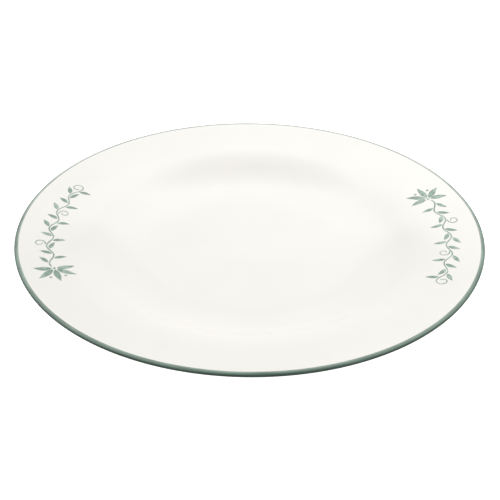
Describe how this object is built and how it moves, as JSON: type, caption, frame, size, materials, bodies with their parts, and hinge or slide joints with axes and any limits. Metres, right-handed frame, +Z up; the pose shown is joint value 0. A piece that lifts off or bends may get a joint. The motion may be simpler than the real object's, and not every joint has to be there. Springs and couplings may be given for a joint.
{
  "type": "dinner plate",
  "caption": "Round rimmed china dinner plate with a foot ring, a sage enamel lip line and trailing leaf decals on the rim.",
  "frame": {"origin": "centre of the foot ring's bearing face, on the surface that the plate stands on", "axes": "+Z up along the plate's axis of revolution; +X and +Y lie in the bearing plane, with the leaf sprays of the two decals 200 and 20 degrees round from +X towards +Y"},
  "size_m": [0.27, 0.27, 0.0234],
  "materials": {
    "bare_china": "unglazed, dry and fine-grained; only the foot ring's bearing face shows",
    "white_glaze": "warm white, high gloss",
    "sage_enamel": "brushed sage green enamel, glossy",
    "sage_ink": "transfer-printed ceramic colour, slightly less glossy than the glaze"
  },
  "bodies": {
    "root": {"china_body": "bare_china", "foot_recess_glaze": "white_glaze", "glaze_coat": "white_glaze", "left_berry_1": "sage_ink", "left_berry_2": "sage_ink", "left_berry_3": "sage_ink", "left_spray_leaf_1": "sage_ink", "left_spray_leaf_2": "sage_ink", "left_spray_leaf_3": "sage_ink", "left_spray_leaf_4": "sage_ink", "left_spray_leaf_5": "sage_ink", "left_tendril_1": "sage_ink", "left_tendril_2": "sage_ink", "left_vine_leaf_1": "sage_ink", "left_vine_leaf_10": "sage_ink", "left_vine_leaf_11": "sage_ink", "left_vine_leaf_12": "sage_ink", "left_vine_leaf_13": "sage_ink", "left_vine_leaf_14": "sage_ink", "left_vine_leaf_15": "sage_ink", "left_vine_leaf_16": "sage_ink", "left_vine_leaf_2": "sage_ink", "left_vine_leaf_3": "sage_ink", "left_vine_leaf_4": "sage_ink", "left_vine_leaf_5": "sage_ink", "left_vine_leaf_6": "sage_ink", "left_vine_leaf_7": "sage_ink", "left_vine_leaf_8": "sage_ink", "left_vine_leaf_9": "sage_ink", "left_vine_stem": "sage_ink", "right_berry_1": "sage_ink", "right_berry_2": "sage_ink", "right_berry_3": "sage_ink", "right_spray_leaf_1": "sage_ink", "right_spray_leaf_2": "sage_ink", "right_spray_leaf_3": "sage_ink", "right_spray_leaf_4": "sage_ink", "right_spray_leaf_5": "sage_ink", "right_tendril_1": "sage_ink", "right_tendril_2": "sage_ink", "right_vine_leaf_1": "sage_ink", "right_vine_leaf_10": "sage_ink", "right_vine_leaf_11": "sage_ink", "right_vine_leaf_12": "sage_ink", "right_vine_leaf_13": "sage_ink", "right_vine_leaf_14": "sage_ink", "right_vine_leaf_15": "sage_ink", "right_vine_leaf_16": "sage_ink", "right_vine_leaf_2": "sage_ink", "right_vine_leaf_3": "sage_ink", "right_vine_leaf_4": "sage_ink", "right_vine_leaf_5": "sage_ink", "right_vine_leaf_6": "sage_ink", "right_vine_leaf_7": "sage_ink", "right_vine_leaf_8": "sage_ink", "right_vine_leaf_9": "sage_ink", "right_vine_stem": "sage_ink", "rim_band": "sage_enamel"}
  },
  "joints": []
}
